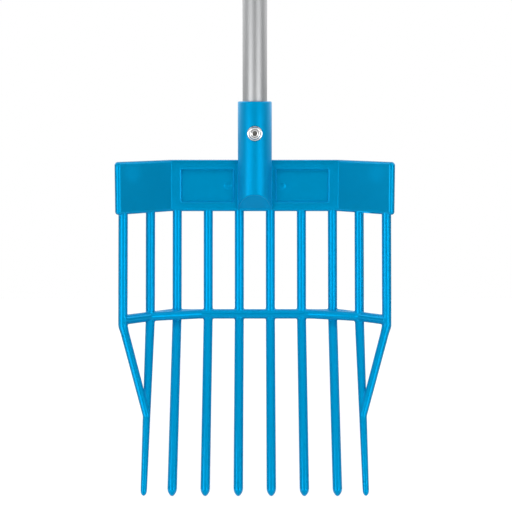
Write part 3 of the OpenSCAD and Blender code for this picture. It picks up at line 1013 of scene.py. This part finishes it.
# %% Camera
eye, looking_down, sensor, lens = at(1.35, -1487.3, 10.74), 7.239, 36, 90.84
bpy.ops.object.camera_add(location=eye, rotation=(math.radians(90 - looking_down), 0, 0))
camera = bpy.context.object
camera.data.sensor_width, camera.data.lens = sensor, lens
bpy.context.scene.camera = camera
print("camera at", [round(v, 3) for v in eye], "with a lens of", lens, "mm")

# %% [markdown]
# ## The floor
# The fork stands in a white studio, over a floor of white card. Enough light to make the card pure white
# would wash out the blue, so the card glows a little, but only for the eye, straight or in a reflection. The
# Light Path node tells such rays from those that carry light on to the fork.

# %% Floor
floor_size, floor_glow = 2.6, 0.86


def seen_by_eye(tree):
    rays = add_node(tree, "ShaderNodeLightPath", {})
    seen = rays.outputs["Is Camera Ray"]
    for kind in ("Is Glossy Ray", "Is Transmission Ray"):
        either = {0: seen, 1: rays.outputs[kind]}
        seen = add_node(tree, "ShaderNodeMath", either, operation="MAXIMUM").outputs[0]
    return seen


bpy.ops.mesh.primitive_plane_add(size=floor_size, location=(0, 0, cad_low.z))
floor = bpy.context.object
floor.name = "floor"
card = bpy.data.materials.new("white card")
card.use_nodes = True
tree = card.node_tree
# matt card scatters light evenly and shows no reflections
paper = tree.nodes["Principled BSDF"]
seen = seen_by_eye(tree)
mix = {"Factor": seen, 6: linear("#F0F0F0"), 7: linear("#707070")}
white = add_node(tree, "ShaderNodeMix", mix, data_type="RGBA")
tree.links.new(white.outputs[2], paper.inputs["Base Color"])
paper.inputs["Roughness"].default_value = 0.9
paper.inputs["Emission Color"].default_value = linear("#FFFFFF")
glow = add_node(tree, "ShaderNodeMath", {0: seen, 1: floor_glow}, operation="MULTIPLY")
tree.links.new(glow.outputs[0], paper.inputs["Emission Strength"])
floor.data.materials.append(card)
print("floor:", floor_size, "m wide, at", round(cad_low.z, 3), "m")

# %% [markdown]
# ## Lamps
# Two soft lights in front give each rod its two bright lines, a wide light above fills the wall, and lights
# beside and behind keep the edges clear of the background. A single dome would light it evenly, but the lines
# would be lost. Only the two soft lights show in reflections. Each row has an angle from the front, a
# distance and a height in metres, a width, a length and a power.

# %% Lamps
aim = at(0, 0, -230)
for name, angle, away, height, width, length, power in [
    ("left soft light", -41.8, 0.95, -0.185, 0.6, 0.49, 3.0),
    ("right soft light", 35, 0.95, -0.185, 0.52, 0.49, 2.55),
    ("top fill light", 0, 0.6, 1.2, 1.2, 0.5, 14.5),
    ("left side light", -118, 0.9, 0.25, 0.4, 0.4, 2.3),
    ("right side light", 118, 0.9, 0.25, 0.4, 0.4, 2.3),
    ("left back light", -138, 1.7, 0.0, 1.0, 1.6, 24),
    ("right back light", 138, 1.7, 0.0, 1.0, 1.6, 24),
]:
    turn = math.radians(angle)
    stand = at(0, 0, 1000 * height) + Vector((math.sin(turn), -math.cos(turn), 0)) * away
    bpy.ops.object.light_add(type="AREA", location=stand)
    lamp = bpy.context.object
    lamp.name = name
    lamp.data.shape, lamp.data.size, lamp.data.size_y = "RECTANGLE", width, length
    lamp.data.energy = power
    lamp.rotation_euler = (aim - stand).to_track_quat("-Z", "Y").to_euler()
    lamp.visible_camera = False
    lamp.visible_glossy = "soft" in name
    print(name, "at", [round(v, 2) for v in stand], power, "W")

# %% [markdown]
# ## Cards for the reflections
# A photographer shapes what shiny things mirror with dark and bright cards. The dark ones between the lights
# give the rods and the tube their dark lines, and the bright ones brighten the tube's sides and the wall's
# top edges. More lamps could do that too, but they would also light the fork. So the cards are seen in
# reflections only. Each row has an angle, a distance, a width, the heights of its foot and top over the
# socket's mouth, and how much it glows.

# %% Cards for the reflections
def card_for_reflections(name, place, turn, width, height, glow):
    bpy.ops.mesh.primitive_plane_add(size=1, location=place, rotation=turn)
    piece = bpy.context.object
    piece.name = name
    piece.scale = (width, height, 1)
    piece.visible_camera = piece.visible_diffuse = piece.visible_shadow = False
    cloth = bpy.data.materials.new(name + " cloth")
    cloth.use_nodes = True
    # black cloth swallows light, and a glow turns it into a bright card
    surface = cloth.node_tree.nodes["Principled BSDF"]
    surface.inputs["Base Color"].default_value = linear("#202020")
    surface.inputs["Emission Color"].default_value = linear("#FFFFFF")
    surface.inputs["Emission Strength"].default_value = glow
    piece.data.materials.append(cloth)
    print(name, "glows by", glow)


ground = cad_low.z - mouth
for name, angle, away, width, foot, top, glow in [
    ("front card", 0, 1.95, 0.9, ground, -0.03, 0.5),
    ("upper front card", 0, 1.95, 0.9, -0.03, 0.77, 0),
    ("left card", -75, 1.3, 0.6, ground, 0.42, 0.12),
    ("right card", 76, 1.3, 0.6, ground, 0.42, 0),
    ("left high card", -102, 1.3, 1.4, 0.42, 2.3, 2.5),
    ("right high card", 102, 1.3, 1.4, 0.42, 2.3, 2.5),
    ("left back card", -132, 1.6, 1.2, 0.02, 0.9, 1.7),
    ("right back card", 132, 1.6, 1.2, 0.02, 0.9, 1.7),
    ("left low card", -132, 1.0, 1.3, ground, -0.012, 0),
    ("right low card", 132, 1.0, 1.3, ground, -0.012, 0),
]:
    turn = math.radians(angle)
    stand = Vector((math.sin(turn) * away, -math.cos(turn) * away, mouth + (foot + top) / 2))
    card_for_reflections(name, stand, (math.radians(90), 0, turn), width, top - foot, glow)
card_for_reflections("ground cloth", (0, 0.47, cad_low.z + 0.001), (0, 0, 0), 2.0, 1.06, 0.1)

# %% [markdown]
# ## The world
# The background is plain white. A white world would also flood the fork with light from all sides, so it is
# white only where the eye sees it, straight or in a reflection, and adds very little light of its own.

# %% World
dim, bright = 0.05, 1.0
world = bpy.data.worlds.new("white studio")
bpy.context.scene.world = world
world.use_nodes = True
tree = world.node_tree
level_of_light = add_node(
    tree, "ShaderNodeMapRange", {"Value": seen_by_eye(tree), "To Min": dim, "To Max": bright}
)
backdrop = tree.nodes["Background"]
backdrop.inputs["Color"].default_value = linear("#FFFFFF")
tree.links.new(level_of_light.outputs["Result"], backdrop.inputs["Strength"])
bpy.context.scene.view_settings.view_transform = "Standard"
print("world:", bright, "for the eye and", dim, "as light")
